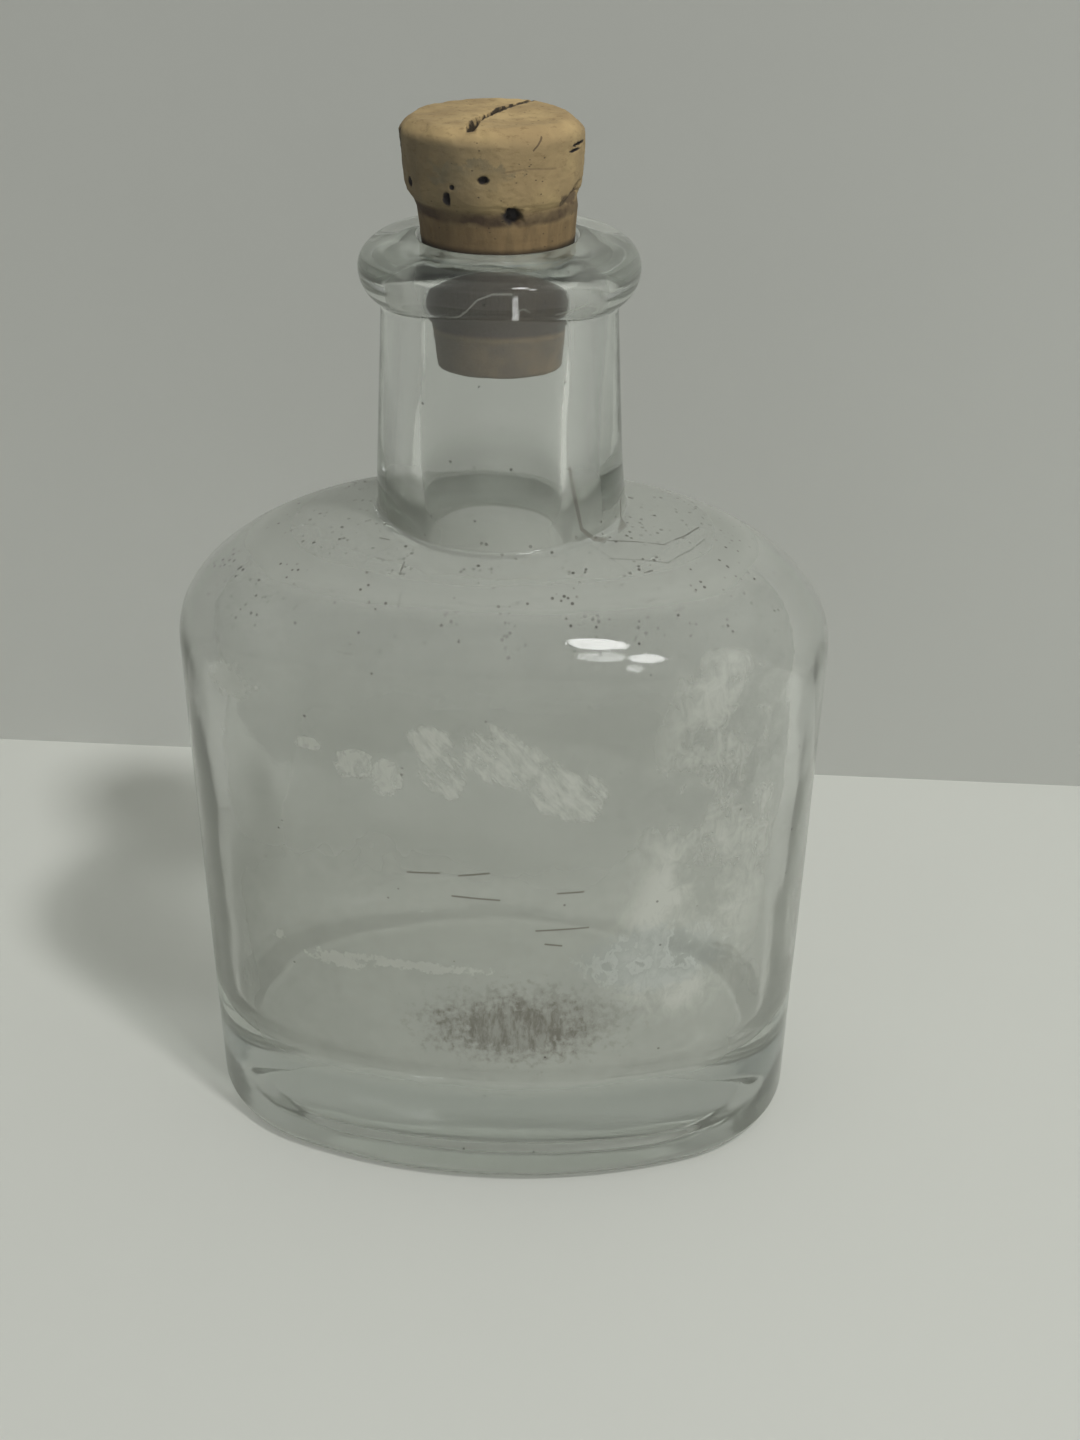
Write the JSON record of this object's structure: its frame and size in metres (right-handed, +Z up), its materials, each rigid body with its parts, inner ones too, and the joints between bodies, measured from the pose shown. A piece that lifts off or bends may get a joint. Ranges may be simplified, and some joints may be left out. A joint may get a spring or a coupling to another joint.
{
  "type": "corked glass flask",
  "caption": "Small empty oval glass flask with rounded shoulders, a straight neck, a ring lip and a tapered natural cork in its mouth.",
  "frame": {"origin": "centre of the foot, on the surface that the flask stands on", "axes": "+Z up along the neck, +X across the broad faces, -Y the broad face that the picture shows"},
  "size_m": [0.0586, 0.0366, 0.0943],
  "materials": {
    "clear_glass": "old pressed and tooled clear glass with a faint grey-green tint, slightly wavy and hazed",
    "natural_cork": "worn natural cork, tan, with dark pores and splits"
  },
  "bodies": {
    "bottle": {"glass_bottle": "clear_glass"},
    "cork": {"cork_stopper": "natural_cork"}
  },
  "joints": [
    {"name": "cork_pull", "type": "slide", "parent": "bottle", "child": "cork", "axis": [0, 0, 1], "range_m": [0, 0.035]}
  ]
}
